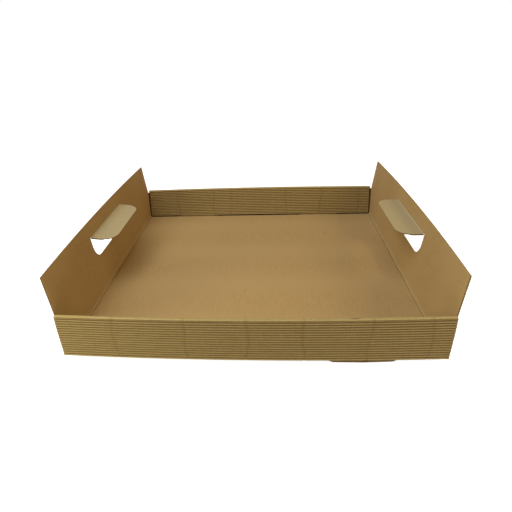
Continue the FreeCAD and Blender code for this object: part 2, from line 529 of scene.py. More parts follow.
@dataclass(frozen=True)
class Kraft:
    """One kraft paper finish."""

    name: str
    base: Colour
    dark: Colour
    light: Colour
    # Colour painted into the flutes' valleys as shade; equal to base where none is painted.
    valley: Colour
    run: Run
    mottle: float = 0.5
    streak: float = 0.18
    cloud: float = 0.05
    speck: float = 0.5
    relief_mm: float = 0.05
    fleck_mm: Point | None = None
    fleck_edge_mm: tuple[float, float] = (0.7, 1.8)
    fleck_strength: float = 0.8

    def material(self, groups: PaperGroups) -> bpy.types.Material:
        """The paper as a material.

        Args:
            groups: The effects that the papers share.

        Returns:
            The material.
        """
        material = bpy.data.materials.new(self.name)
        material.use_nodes = True
        kit = NodeKit(material.node_tree)
        shader = material.node_tree.nodes["Principled BSDF"]
        place = kit.add("TexCoord").outputs["Object"]
        found = self.fibre_pattern(kit, groups, place)
        colour = self.worn(kit, groups, self.paper_colour(kit, found, place))
        kit.link(colour, shader.inputs["Base Color"])
        kit.link(kit.math("MULTIPLY_ADD", found["Mottle"], 0.12, 0.8), shader.inputs["Roughness"])
        shader.inputs["Specular IOR Level"].default_value = 0.25
        bump = kit.add("Bump")
        bump.inputs["Strength"].default_value = 0.7
        bump.inputs["Distance"].default_value = self.relief_mm * MM
        kit.link(found["Relief"], bump.inputs["Height"])
        kit.link(bump.outputs["Normal"], shader.inputs["Normal"])
        return material

    def fibre_pattern(
        self, kit: NodeKit, groups: PaperGroups, place: bpy.types.NodeSocket,
    ) -> bpy.types.bpy_prop_collection:
        """The fibre effect, scaled to millimetres and stretched along the paper's run.

        Args:
            kit: The material's node kit.
            groups: The effects that the papers share.
            place: The point on the piece, in metres.

        Returns:
            The effect's outputs by name.
        """
        fibres = kit.add("Group", node_tree=groups.fibres)
        for socket, scales in (("Place", (1.0, 1.0, 1.0)), ("Run", self.run.value)):
            mapping = kit.add("Mapping")
            mapping.inputs["Scale"].default_value = tuple(scale / MM for scale in scales)
            kit.link(place, mapping.inputs["Vector"])
            kit.link(mapping.outputs[0], fibres.inputs[socket])
        return fibres.outputs

    def paper_colour(
        self, kit: NodeKit, found: bpy.types.bpy_prop_collection, place: bpy.types.NodeSocket,
    ) -> bpy.types.NodeSocket:
        """The paper's own colour, before any wear.

        Args:
            kit: The material's node kit.
            found: The fibre effect's outputs.
            place: The point on the piece, in metres.

        Returns:
            The colour.
        """
        colour = kit.mix(kit.math("MULTIPLY", found["Mottle"], self.mottle), self.base, self.dark)
        colour = kit.mix(kit.math("MULTIPLY", found["Streak"], self.streak), colour, self.light)
        colour = kit.mix(kit.math("MULTIPLY", found["Cloud"], self.cloud), colour, self.dark)
        colour = kit.mix(kit.math("MULTIPLY", found["Speck"], self.speck), colour, SPECK_BROWN)
        if self.fleck_mm is None:
            return colour
        apart = kit.add("VectorMath", operation="DISTANCE")
        kit.link(place, apart.inputs[0])
        apart.inputs[1].default_value = tuple(c * MM for c in self.fleck_mm)
        low, high = (edge * MM for edge in self.fleck_edge_mm)
        near = kit.math("SUBTRACT", 1.0, kit.ramp(apart.outputs["Value"], low, high))
        return kit.mix(kit.math("MULTIPLY", near, self.fleck_strength), colour, FLECK_BROWN)

    def worn(
        self, kit: NodeKit, groups: PaperGroups, colour: bpy.types.NodeSocket,
    ) -> bpy.types.NodeSocket:
        """A paper's colour with the wear, painted highlight and painted shade that are stored on its piece.

        Args:
            kit: The material's node kit.
            groups: The effects that the papers share.
            colour: The paper's own colour.

        Returns:
            The colour with its wear, painted highlight and painted shade.
        """
        wear = kit.add("Group", node_tree=groups.wear)
        kit.link(colour, wear.inputs["Paper"])
        # The colour painted into the flutes' valleys as shade.
        wear.inputs["Valley"].default_value = self.valley
        # The stored values: crests, pressed wear, rubbed wear with a painted highlight, and painted shade.
        for name in ("Ridge", "Press", "Rub", "Gap"):
            kit.link(kit.painted(name.lower()), wear.inputs[name])
        return wear.outputs["Colour"]


LINER_TONES = {
    "base": srgb(176, 141, 90),
    "dark": srgb(156, 118, 66),
    "light": srgb(191, 159, 109),
    "valley": srgb(176, 141, 90),
}
# Painted light: a paler, greyer copy of the liner's tones for the handle flaps and their crease strips,
# which lie face up under the lamps.
LIT_FLAP_TONES = {
    "base": srgb(178, 155, 112),
    "dark": srgb(160, 134, 90),
    "light": srgb(192, 172, 130),
    "valley": srgb(178, 155, 112),
}
FLUTE_TONES = {
    "base": srgb(173, 147, 93),
    "dark": srgb(149, 119, 67),
    "light": srgb(189, 166, 111),
    # Painted shade for the flutes' valleys.
    "valley": srgb(106, 76, 38),
}
EDGE_TONES = {
    "base": srgb(156, 122, 72),
    "dark": srgb(112, 80, 40),
    "light": srgb(184, 154, 102),
    "valley": srgb(156, 122, 72),
}
FINISHES = (
    Kraft("liner", run=Run.ALONG_Y, fleck_mm=(-11.7, -70.7, 7.2), **LINER_TONES),
    Kraft("liner_upright", run=Run.ALONG_Z, **LINER_TONES),
    # Painted light: the liner's paler copy for the handle flaps.
    Kraft("flap_liner", run=Run.ALONG_Y, **LIT_FLAP_TONES),
    Kraft("flutes", run=Run.ALONG_Y, **FLUTE_TONES),
    Kraft("flutes_upright", run=Run.ALONG_Z, **FLUTE_TONES),
    Kraft("cut_edge", run=Run.ALONG_Y, mottle=0.6, streak=0.3, **EDGE_TONES),
)


class SheetMaker:
    """Adds sheets of paper as grids whose points follow a folded surface."""

    def __init__(self, finishes: dict[str, bpy.types.Material]) -> None:
        """Takes the materials by their names."""
        self.finishes = finishes

    def sheet(
        self,
        name: str,
        across: Sequence,
        along: Sequence,
        place: Callable[..., Point],
        layer: Layer,
        finish: str,
    ) -> bpy.types.Object:
        """Adds one open sheet.

        Args:
            name: The piece's name.
            across: Stations of the grid's columns.
            along: Stations of the grid's rows.
            place: Gives the point in millimetres for a column, a row and an extra height.
            layer: Which paper of the board it is.
            finish: The material's name.

        Returns:
            The sheet, its faces turned to the flutes' side.
        """
        bpy.ops.object.select_all(action="DESELECT")
        bpy.ops.mesh.primitive_grid_add(
            x_subdivisions=len(across) - 1, y_subdivisions=len(along) - 1, size=1,
        )
        piece = bpy.context.active_object
        piece.name = piece.data.name = name
        points = [place(u, v, 0.0) for v in along for u in across]
        if len(points) != len(piece.data.vertices):
            raise ValueError(f"{name}: {len(points)} points for {len(piece.data.vertices)} vertices")
        piece.data.vertices.foreach_set("co", [value * MM for point in points for value in point])
        piece.data.update()
        middle_u, middle_v = across[len(across) // 2], along[len(along) // 2]
        way = Vector(place(middle_u, middle_v, 1.0)) - Vector(place(middle_u, middle_v, 0.0))
        nearest = Vector(place(middle_u, middle_v, 0.0)) * MM
        face = min(piece.data.polygons, key=lambda f: (f.center - nearest).length_squared)
        if face.normal.dot(way) < 0:
            self.in_edit_mode(piece, bpy.ops.mesh.flip_normals)
        for key in (finish, "cut_edge"):
            piece.data.materials.append(self.finishes[key])
        piece["layer"] = layer.value
        return piece

    @staticmethod
    def in_edit_mode(piece: bpy.types.Object, operator: Callable, **options: object) -> None:
        """Runs one edit-mode operator on the whole piece.

        Args:
            piece: The mesh to work on.
            operator: The operator.
            options: Its options.
        """
        bpy.ops.object.select_all(action="DESELECT")
        piece.select_set(True)
        bpy.context.view_layer.objects.active = piece
        bpy.ops.object.mode_set(mode="EDIT")
        bpy.ops.mesh.select_all(action="SELECT")
        operator(**options)
        bpy.ops.object.mode_set(mode="OBJECT")

    @staticmethod
    def apply(piece: bpy.types.Object, modifier: bpy.types.Modifier) -> None:
        """Applies a modifier.

        Args:
            piece: The mesh that has it.
            modifier: The modifier.
        """
        bpy.ops.object.select_all(action="DESELECT")
        piece.select_set(True)
        bpy.context.view_layer.objects.active = piece
        bpy.ops.object.modifier_apply(modifier=modifier.name)

    def thicken(self, piece: bpy.types.Object) -> None:
        """Gives a sheet the paper's thickness, with its rims in the cut-edge finish.

        Args:
            piece: The open sheet.
        """
        solid = piece.modifiers.new("paper", "SOLIDIFY")
        solid.thickness = (BOARD.paper + BOARD.glue_overlap * (piece["layer"] > 0)) * MM
        solid.offset = piece["layer"]
        solid.use_even_offset = True
        solid.material_offset_rim = 1
        self.apply(piece, solid)

    def cut(self, piece: bpy.types.Object, cutter: bpy.types.Object) -> None:
        """Cuts a piece with a closed shape, which stays.

        Args:
            piece: The piece to cut.
            cutter: The closed shape.
        """
        knife = piece.modifiers.new("cut", "BOOLEAN")
        knife.operation = "DIFFERENCE"
        knife.solver = "EXACT"
        knife.material_mode = "TRANSFER"
        knife.object = cutter
        self.apply(piece, knife)

    @staticmethod
    def remove(piece: bpy.types.Object) -> None:
        """Takes a cutter out of the scene."""
        bpy.data.objects.remove(piece, do_unlink=True)

    @staticmethod
    def smooth(piece: bpy.types.Object, degrees: float = 50.0) -> None:
        """Smooth shading, with edges sharper than the angle kept.

        Args:
            piece: The piece to shade.
            degrees: The sharpest angle that is smoothed.
        """
        bpy.ops.object.select_all(action="DESELECT")
        piece.select_set(True)
        bpy.context.view_layer.objects.active = piece
        bpy.ops.object.shade_smooth_by_angle(angle=math.radians(degrees))

    def box(self, name: str, low: Point, high: Point) -> bpy.types.Object:
        """Adds a block between two corners, in millimetres.

        Args:
            name: The block's name.
            low: Its lowest corner.
            high: Its highest corner.

        Returns:
            The block.
        """
        bpy.ops.object.select_all(action="DESELECT")
        bpy.ops.mesh.primitive_cube_add(size=1, location=[(a + b) / 2 * MM for a, b in zip(low, high)])
        block = bpy.context.active_object
        block.name = name
        block.scale = [(b - a) * MM for a, b in zip(low, high)]
        bpy.ops.object.transform_apply(location=True, rotation=True, scale=True)
        block.data.materials.append(self.finishes["cut_edge"])
        return block

    @staticmethod
    def paint(piece: bpy.types.Object, name: str, value: Callable[[float, float, float], float]) -> None:
        """Stores a value for each vertex, worked out from its place in millimetres."""
        layer = piece.data.attributes.get(name) or piece.data.attributes.new(name, "FLOAT", "POINT")
        layer.data.foreach_set("value", [value(*(c / MM for c in v.co)) for v in piece.data.vertices])


@dataclass
class FloorAndPanels:
    """The floor with its two side folds and the high side panels."""

    maker: SheetMaker
    liner_rows: int = 60
    panel_columns: int = 16
    floor_columns: int = 12
    bead_columns: int = 8
    crushed_share: float = 0.15
    line_width: float = 0.5
    # Offset of the painted shade line from the bead.
    line_offset: float = -1.1
    # Strength of the lighter line along the beads: rubbed wear with a painted highlight.
    rub_strength: float = 0.9
    # Strengths of the painted shade beside the beads and in the slits.
    line_strength: float = 0.4
    slit_strength: float = 0.7

    def fold_path(self) -> list[Station]:
        """Stations of the right side fold, from the floor to the panel's foot."""
        centre = (TRAY.half_width - TRAY.fold_radius, TRAY.floor_under + TRAY.fold_radius)
        return fold_stations(centre, 270, 360)

    def bead_path(self) -> list[tuple[float, float]]:
        """The liner's bead along the right side fold, from the floor up.

        Returns:
            Its X and Z places.
        """
        centre_x = TRAY.half_width - BOARD.thickness - TRAY.bead_offset
        centre_z = TRAY.floor_top + TRAY.bead_offset
        over = math.asin(TRAY.bead_offset / TRAY.bead_radius)
        angles = spread(math.pi + over, math.pi / 2 - over, self.bead_columns)
        radius = TRAY.bead_radius
        return [(centre_x + radius * math.cos(a), centre_z + radius * math.sin(a)) for a in angles]

    def valley_at(self, y: float) -> float:
        """Depth share of the flutes at a place along Y."""
        return BOARD.valley(y + TRAY.panel_end, 2 * TRAY.panel_end)

    def build(self) -> list[bpy.types.Object]:
        """Adds the fluted papers and the one liner.

        Returns:
            The liner, the floor's paper and the panels' papers.
        """
        liner, floor = self.liner(), self.floor_flutes()
        panels = {side: self.panel_flutes(side) for side in Side}
        for side in Side:
            hole = HandHole(self.maker).cutter(side)
            for piece in (liner, panels[side]):
                self.maker.cut(piece, hole)
            self.maker.remove(hole)
        pieces = [liner, floor, *panels.values()]
        for piece in pieces:
            self.maker.smooth(piece)
            self.maker.paint(piece, "ridge", lambda x, y, z: 1 - self.valley_at(y))
        # Rubbed wear with a painted highlight along each side fold's bead.
        self.maker.paint(liner, "rub", lambda x, y, z: self.rub_strength * self.near_bead(x, z))
        # Painted shade: a dark line beside each bead and dark slits under the walls.
        self.maker.paint(liner, "gap", self.shade)
        return pieces

    def shade(self, x: float, y: float, z: float) -> float:
        """How much painted shade the liner has beside the beads and at the walls' slits, 0 to 1."""
        at_slit = z < TRAY.floor_top + 0.1 and abs(y) > TRAY.panel_end - 0.7
        return max(self.line_strength * self.near_bead(x, z, self.line_offset), self.slit_strength * at_slit)

    def near_bead(self, x: float, z: float, offset: float = 0.0) -> float:
        """How near a place is to a line beside a side fold's bead, 0 to 1."""
        line = TRAY.half_width - BOARD.thickness - TRAY.bead_offset + offset
        return math.exp(-((abs(x) - line) / self.line_width) ** 2) if z < TRAY.panel_start + 1 else 0.0

    def liner(self) -> bpy.types.Object:
        """The smooth inside paper, from one panel's top over the floor to the other's.

        Returns:
            The liner.
        """
        bead = self.bead_path()
        foot_x = bead[0][0]
        half = [(foot_x - step, TRAY.floor_top) for step in (3.0, 1.2, 0.6)] + bead
        levels = spread(TRAY.panel_start, TRAY.panel_top - TRAY.rim_play, self.panel_columns)
        run = [(-1, None, z) for z in reversed(levels)]
        run += [(-1, x, z) for x, z in reversed(half)]
        run += [(1, x, TRAY.floor_top) for x in spread(-half[0][0], half[0][0], self.floor_columns)[1:-1]]
        run += [(1, x, z) for x, z in half]
        run += [(1, None, z) for z in levels]

        def place(station: tuple, y: float, extra: float) -> Point:
            """A point of the liner; on a panel a station's X follows the panel's bow."""
            side, x, z = station
            if x is None:
                return side * (TRAY.panel_outer_x(y, z) - BOARD.thickness + extra), y, z
            return side * x, y, z - extra

        rows = set(spread(-TRAY.panel_end, TRAY.panel_end, self.liner_rows))
        rows |= {end.value * (TRAY.panel_end - step) for end in End for step in (0.5, 1.1)}
        sheet = self.maker.sheet("inside_liner", run, sorted(rows), place, Layer.LINER, "liner")
        self.maker.thicken(sheet)
        return sheet

    def floor_flutes(self) -> bpy.types.Object:
        """The fluted paper under the floor, up to where the panels start.

        Returns:
            The fluted paper.
        """
        fold = self.fold_path()
        flat = TRAY.half_width - TRAY.crushed_strip
        half = [(Station((x, TRAY.floor_under), (x, TRAY.floor_top)), 1.0) for x in spread(0, flat, 6)]
        half += [(station, self.crushed_share) for station in fold]
        inside = TRAY.half_width - BOARD.thickness
        half.append((Station((TRAY.half_width, TRAY.panel_start), (inside, TRAY.panel_start)), 1.0))
        run = [(-1, *pair) for pair in reversed(half[1:])] + [(1, *pair) for pair in half]

        def place(station: tuple, y: float, extra: float) -> Point:
            """A point of the fluted paper, its flutes lower on the fold."""
            side, spot, share = station
            x, z = spot.at(BOARD.height(self.valley_at(y), share) + extra)
            return side * x, y, z

        rows = BOARD.stations(-TRAY.panel_end, TRAY.panel_end)
        sheet = self.maker.sheet("floor_flutes", run, rows, place, Layer.FLUTES, "flutes")
        self.maker.thicken(sheet)
        return sheet

    def panel_flutes(self, side: Side) -> bpy.types.Object:
        """The fluted paper outside a high side panel.

        Args:
            side: Which panel.

        Returns:
            The fluted paper.
        """
        def place(z: float, y: float, extra: float) -> Point:
            """A point of the panel's fluted paper."""
            height = BOARD.height(self.valley_at(y)) + extra
            return side.value * (TRAY.panel_outer_x(y, z) - BOARD.thickness + height), y, z

        levels = spread(TRAY.panel_start, TRAY.panel_top - TRAY.rim_play, self.panel_columns)
        rows = BOARD.stations(-TRAY.panel_end, TRAY.panel_end)
        sheet = self.maker.sheet(f"{side.label}_panel_flutes", levels, rows, place, Layer.FLUTES, "flutes")
        self.maker.thicken(sheet)
        return sheet


@dataclass
class HandHole:
    """The outline of a hand hole: a straight top, rounded low corners."""

    maker: SheetMaker
    length: float = 125.0
    bottom: float = 47.5
    top: float = 80.0
    corner_radius: float = 20.0
    corner_steps: int = 12
    reach: tuple[float, float] = (-6.0, 14.0)

    def cutter(self, side: Side) -> bpy.types.Object:
        """A block with two rounded corners that cuts the hole.

        Args:
            side: Which panel.

        Returns:
            The block.
        """
        near, far = sorted(side.value * (TRAY.half_width + step) for step in self.reach)
        half = self.length / 2
        low, high = TRAY.floor_under + self.bottom, TRAY.floor_under + self.top
        block = self.maker.box("hole_cutter", (near, -half, low), (far, half, high))
        self.round_low_corners(block)
        return block

    def round_low_corners(self, block: bpy.types.Object) -> None:
        """Rounds the two lower edges that run along X.

        Args:
            block: The block to round.
        """
        bpy.ops.object.mode_set(mode="EDIT")
        bpy.ops.mesh.select_mode(type="EDGE")
        bpy.ops.mesh.select_all(action="DESELECT")
        bpy.ops.object.mode_set(mode="OBJECT")
        points = block.data.vertices
        low = min(v.co.z for v in points)
        for edge in block.data.edges:
            a, b = (points[i].co for i in edge.vertices)
            edge.select = abs(a.y - b.y) < 1e-6 and abs(a.x - b.x) > 1e-6 and max(a.z, b.z) < low + 1e-6
        bpy.ops.object.mode_set(mode="EDIT")
        bpy.ops.mesh.bevel(
            offset=self.corner_radius * MM, segments=self.corner_steps, affect="EDGES", clamp_overlap=False,
        )
        bpy.ops.mesh.select_mode(type="VERT")
        bpy.ops.object.mode_set(mode="OBJECT")


@dataclass(frozen=True)
class TabHang:
    """How far a tab hangs under the floor, how far its low edge rises and how far it leans out."""

    drop: float
    rise: float = 0.0
    lean: float = 0.0


SEATED_TAB = TabHang(2.0)
SLIPPED_TAB = TabHang(5.4, rise=1.2, lean=3.0)


@dataclass
class RolledWall:
    """A front or back wall: outer panel, narrow roll and inner panel with its tabs."""

    maker: SheetMaker
    end: End
    tab_offset: float
    roll_taper: float
    press_lines: tuple[float, ...] = ()
    dents: tuple[float, ...] = ()
    dent_width: float = 4.2
    dent_depth: float = 0.5
    dent_shade: float = 0.75
    press_width: float = 1.3
    press_depth: float = 0.3
    press_wander: float = 1.2
    press_wave: float = 9.0
    press_phase: float = 2.1
    press_lean: float = 0.03
    press_level: float = 30.0
    columns: int = 70
    liner_columns: int = 40
    tab_columns: int = 24
    liner_every: int = 32
    inner_side: float = 3.5
    neck_width: float = 65.0
    head_width: float = 78.0
    shoulder_depth: float = 0.3
    bevel: tuple[float, float] = (7.0, 2.6)
    slot_play: tuple[float, float] = (0.8, 0.4)

    def path(self) -> list[Station]:
        """Stations from the floor's edge round the foot, up, over the roll and down inside.

        Returns:
            The stations in order, as inset and level.
        """
        radius, depth = TRAY.fold_radius, TRAY.roll_depth
        low, high = TRAY.floor_under + radius, TRAY.wall_top - radius
        start = Station((TRAY.panel_end_inset, TRAY.floor_under), (TRAY.panel_end_inset, TRAY.floor_top))
        found = [start] + fold_stations((radius, low), 270, 180)
        found += self.fluted((0.0, low), (0.0, high), 1.0)[1:-1]
        found += fold_stations((radius, high), 180, 90)
        found += fold_stations((depth - radius, high), 90, 0)
        found += self.fluted((depth, high), (depth, TRAY.inner_edge), -1.0)[1:]
        return found

    @staticmethod
    def fluted(start: tuple[float, float], end: tuple[float, float], inward: float) -> list[Station]:
        """Stations of an upright fluted panel; inward is the way from crest to smooth side.

        Args:
            start: Inset and level of the first crest.
            end: Inset and level of the last crest.
            inward: 1 where the smooth side has the larger inset, or -1.

        Returns:
            The stations in order.
        """
        length = abs(end[1] - start[1])
        found = []
        for z in BOARD.stations(start[1], end[1]):
            smooth = (start[0] + inward * BOARD.thickness, z)
            found.append(Station((start[0], z), smooth, BOARD.valley(abs(z - start[1]), length)))
        return found

    def press(self, x: float, z: float) -> float:
        """How strongly the flutes are pressed in at a place, 0 to 1.

        Args:
            x: Place along the wall.
            z: Level.

        Returns:
            The strength.
        """
        total = 0.0
        for index, line in enumerate(self.press_lines):
            wave = self.press_wander * math.sin(z / self.press_wave + self.press_phase * index)
            lean = (z - self.press_level) * self.press_lean * (-1) ** index
            total += math.exp(-((x - line - wave - lean) / self.press_width) ** 2)
        return min(total, 1.0)

    def dent(self, x: float, inset: float, z: float) -> float:
        """How strongly the roll's inner edge is pressed in at a place, 0 to 1.

        Args:
            x: Place along the wall.
            inset: Distance inside its outer face.
            z: Level.

        Returns:
            The strength.
        """
        low = TRAY.wall_top - TRAY.fold_radius
        if z < low or inset < TRAY.roll_depth * 0.45:
            return 0.0
        return sum(math.exp(-((x - middle) / self.dent_width) ** 4) for middle in self.dents)

    def xs(self) -> list[float]:
        """Column shares from -1 to 1, closer together at the pressed lines.

        Returns:
            The shares in order.
        """
        found = set(round(share, 5) for share in spread(-1, 1, self.columns))
        for line in self.press_lines + self.dents:
            found |= {round((line + step) / TRAY.half_width, 5) for step in spread(-5, 5, 10)}
        return sorted(found)

    def surface(self, share: float, station: Station, height: float) -> Point:
        """A point of the wall at a height above the smooth side.

        Args:
            share: Share of the wall's half length, from -1 to 1.
            station: The place on its folded path.
            height: Millimetres above the smooth side.

        Returns:
            The point in millimetres.
        """
        inset, z = station.at(height)
        x = share * self.reach(station)
        foot_share = TRAY.foot_bow_share if station.outer[0] < TRAY.roll_depth / 2 else 0.0
        y = TRAY.half_depth - inset + TRAY.wall_shift(x, z, foot_share)
        return x, self.end.value * y, z

    def reach(self, station: Station) -> float:
        """Half the wall's length at a station: the panels narrow towards the roll.

        Args:
            station: The place on its folded path.

        Returns:
            The length in millimetres.
        """
        high = TRAY.wall_top - TRAY.fold_radius
        rise = min(max((station.smooth[1] - TRAY.floor_top) / (high - TRAY.floor_top), 0.0), 1.0)
        inner = station.smooth[0] > self.inner_side and station.smooth[1] < high - 0.01
        if inner:
            return TRAY.half_width - BOARD.thickness - TRAY.end_gap - TRAY.inner_taper * rise
        return TRAY.half_width - self.roll_taper * rise ** 6

    def build(self) -> list[bpy.types.Object]:
        """Adds the fluted paper and the liner of the wall, and its tabs.

        Returns:
            The fluted paper, the liner and the tabs' papers.
        """
        path = self.path()
        label = self.end.label

        def fluted_place(share: float, station: Station, extra: float) -> Point:
            """A point of the fluted paper, pressed in at the lines and dents."""
            x = share * TRAY.half_width
            on_flutes = station.valley > 0 or station.outer[0] < 1
            pressed = self.press(x, station.outer[1]) * on_flutes
            height = BOARD.height(station.valley) - self.press_depth * pressed * (1 - station.valley)
            height -= self.dent_depth * self.dent(x, *station.outer)
            return self.surface(share, station, height + extra)

        flutes = self.maker.sheet(
            f"{label}_wall_flutes", self.xs(), path, fluted_place, Layer.FLUTES, "flutes_upright",
        )
        last = len(path) - 1
        plain = [s for i, s in enumerate(path) if s.valley == 0.0 or i % self.liner_every == 0 or i == last]
        shares = spread(-1, 1, self.liner_columns)
        liner = self.maker.sheet(
            f"{label}_wall_liner", shares, plain, self.surface, Layer.LINER, "liner_upright",
        )
        pieces = [flutes, liner]
        for piece in pieces:
            self.maker.thicken(piece)
        for side in Side:
            slot = self.slot_cutter(side)
            for piece in pieces:
                self.maker.cut(piece, slot)
            self.maker.remove(slot)
        for side in Side:
            pieces += self.tab(side)
        for piece in pieces:
            self.maker.smooth(piece)
            self.maker.paint(piece, "ridge", self.ridge_at)
            self.maker.paint(piece, "press", self.pressed_at)
        # Painted shade in the roll's dents.
        self.maker.paint(
            flutes, "gap", lambda x, y, z: self.dent_shade * self.dent(x, self.inset_at(x, y, z), z),
        )
        # Painted shade on the wall liner low down, at the slit above the floor.
        self.maker.paint(liner, "gap", lambda x, y, z: 0.9 * (z < TRAY.inner_edge + 6))
        # Painted shade on the tabs' parts that hang under the floor.
        for piece in pieces[2:]:
            self.maker.paint(piece, "gap", lambda x, y, z: 0.35 * (z < TRAY.floor_under))
        return pieces

    @staticmethod
    def inset_at(x: float, y: float, z: float) -> float:
        """How far a point lies inside the wall's outer face, its bow taken off."""
        return TRAY.half_depth - abs(y) + TRAY.wall_shift(x, z)

    def pressed_at(self, x: float, y: float, z: float) -> float:
        """Strength of the pressed lines and dents at a point."""
        return max(self.press(x, z), 2.0 * self.dent(x, self.inset_at(x, y, z), z))

    def ridge_at(self, x: float, y: float, z: float) -> float:
        """How near a point is to a flute's crest, 0 to 1.

        Args:
            x: Place along the wall.
            y: Place across the tray.
            z: Level.

        Returns:
            The nearness.
        """
        low, high = TRAY.floor_under + TRAY.fold_radius, TRAY.wall_top - TRAY.fold_radius
        inset, middle = self.inset_at(x, y, z), TRAY.roll_depth / 2
        if inset < middle:
            valley = BOARD.valley(z - low, high - low) if low < z < high else 0.0
        else:
            valley = BOARD.valley(high - z, high - TRAY.inner_edge) if z < high else 0.0
        # On the roll: a line of painted shade, in the valley colour, low on its outer fold; nearly the
        # paper's own colour on the rest of it.
        if z > high + 0.01:
            valley = 0.9 if z < high + 1.0 and inset < middle else 0.1
        return 1 - valley

    def slot_cutter(self, side: Side) -> bpy.types.Object:
        """The block that cuts a tab's slot beside the foot fold.

        Args:
            side: Which tab.

        Returns:
            The block.
        """
        along, across = self.slot_play
        half = self.head_width / 2 + along
        smooth = TRAY.half_depth - TRAY.roll_depth + BOARD.thickness
        near, far = sorted(self.end.value * y for y in (smooth + across, smooth - BOARD.thickness - across))
        centre = side.value * self.tab_offset
        return self.maker.box(
            "slot_cutter",
            (centre - half, near, TRAY.floor_under - 1),
            (centre + half, far, TRAY.floor_top + TRAY.slit_height / 2),
        )

    def tab(self, side: Side) -> list[bpy.types.Object]:
        """A tab through the floor; the front right one has slipped down and hangs askew.

        Args:
            side: Which tab.

        Returns:
            Its fluted paper and its liner.
        """
        hang = SLIPPED_TAB if self.end is End.FRONT and side is Side.RIGHT else SEATED_TAB
        low = TRAY.floor_under - hang.drop
        shoulder = TRAY.floor_top - self.shoulder_depth
        length = TRAY.inner_edge - low
        centre = side.value * self.tab_offset
        half_neck, half_head = self.neck_width / 2, self.head_width / 2
        bevel_x, bevel_z = self.bevel

        def low_at(x: float) -> float:
            """Lower edge of the head at x from its middle."""
            base = low + hang.rise * max(x, 0.0) / (half_head - bevel_x)
            return base + bevel_z * max(abs(x) - (half_head - bevel_x), 0.0) / bevel_x

        def place(share: float, level: float, extra: float, flat: bool) -> Point:
            """A point of the tab; the liner is flat, the other paper fluted."""
            x = share * (half_neck if level > shoulder else half_head)
            z = level
            if level < shoulder:
                z = shoulder - (shoulder - level) * (shoulder - low_at(x)) / (shoulder - low)
            valley = BOARD.valley(TRAY.inner_edge - z, length)
            inset = TRAY.roll_depth - BOARD.thickness + (0.0 if flat else BOARD.height(valley)) + extra
            inset -= hang.lean * max(TRAY.floor_under - z, 0.0) / hang.drop
            return centre + x, self.end.value * (TRAY.half_depth - inset), z

        rows = sorted(set(BOARD.stations(TRAY.inner_edge, low)) | {shoulder, shoulder + 0.01})
        columns = spread(-1, 1, self.tab_columns)
        pieces = []
        for layer, kind, flat in ((Layer.FLUTES, "flutes", False), (Layer.LINER, "liner", True)):
            name = f"{self.end.label}_{side.label}_tab_{kind}"
            surface = partial(place, flat=flat)
            sheet = self.maker.sheet(name, columns, rows, surface, layer, f"{kind}_upright")
            self.maker.thicken(sheet)
            pieces.append(sheet)
        return pieces


class FlapStop(Enum):
    """What a row of a corner flap lies on: the panel's upright edge, the fold or the flat stretch."""

    EDGE = 0
    FOLD = 1
    FLAT = 2


@dataclass
class CornerFlap:
    """A flap folded off a side panel and held inside a rolled wall."""

    maker: SheetMaker
    side: Side
    end: End
    length: float = 45.0
    play: float = 0.2
    top_drop: float = 4.5
    floor_gap: float = 0.4

    def build(self) -> list[bpy.types.Object]:
        """Adds the flap's fluted paper and its liner.

        Returns:
            The two papers.
        """
        low, high = TRAY.floor_top + self.floor_gap, TRAY.wall_top - self.top_drop
        outer_inset = BOARD.thickness + self.play
        free_end = TRAY.half_width - self.length
        levels = spread(low, high, 10)
        straight = BOARD.stations(TRAY.bend_line, free_end)
        angles = spread(0, 90, 6)
        turn = [(FlapStop.EDGE, 0.0)] + [(FlapStop.FOLD, angle) for angle in angles]
        flat = [(FlapStop.FLAT, x) for x in straight]

        def place(stop: tuple[FlapStop, float], z: float, extra: float, flutes: bool) -> Point:
            """A point of the flap, which follows its panel at the fold and its wall beyond."""
            kind, value = stop
            outer_x = TRAY.panel_outer_x(self.end.value * TRAY.panel_end, z)
            centre_x, centre_inset = outer_x - TRAY.fold_radius, outer_inset + TRAY.fold_radius
            if kind is FlapStop.FLAT:
                valley = BOARD.valley(TRAY.bend_line - value, TRAY.bend_line - free_end)
                height = (BOARD.height(valley) if flutes else 0.0) + extra
                inset = outer_inset + BOARD.thickness - height
                x, shift = value, TRAY.wall_shift(value, z)
            else:
                height = (BOARD.thickness if flutes else 0.0) + extra
                radius = TRAY.fold_inside + height
                angle = math.radians(value)
                x = centre_x + radius * math.cos(angle)
                inset = centre_inset - radius * math.sin(angle)
                shift = 0.0
                if kind is FlapStop.EDGE:
                    inset = TRAY.panel_end_inset
            y = self.end.value * (TRAY.half_depth - inset + shift)
            return self.side.value * x, y, z

        pieces = []
        for layer, finish, flutes in ((Layer.FLUTES, "flutes", True), (Layer.LINER, "liner", False)):
            near = [(FlapStop.FLAT, TRAY.bend_line - step) for step in (1.5, 4.0)]
            stops = turn + (flat if flutes else near + flat[-1:])
            name = f"{self.end.label}_{self.side.label}_corner_flap_{finish}"
            sheet = self.maker.sheet(name, stops, levels, partial(place, flutes=flutes), layer, finish)
            self.maker.thicken(sheet)
            self.maker.smooth(sheet)
            self.maker.paint(sheet, "ridge", lambda x, y, z: 1 - BOARD.valley(
                max(TRAY.bend_line - abs(x), 0.0), TRAY.bend_line - free_end))
            # Painted shade on the flap's liner near its fold and low down, deep inside the wall.
            self.maker.paint(sheet, "gap", lambda x, y, z, f=flutes: 0.85 * (
                not f and (abs(x) > TRAY.bend_line - 2 or z < TRAY.floor_top + 6)))
            pieces.append(sheet)
        return pieces


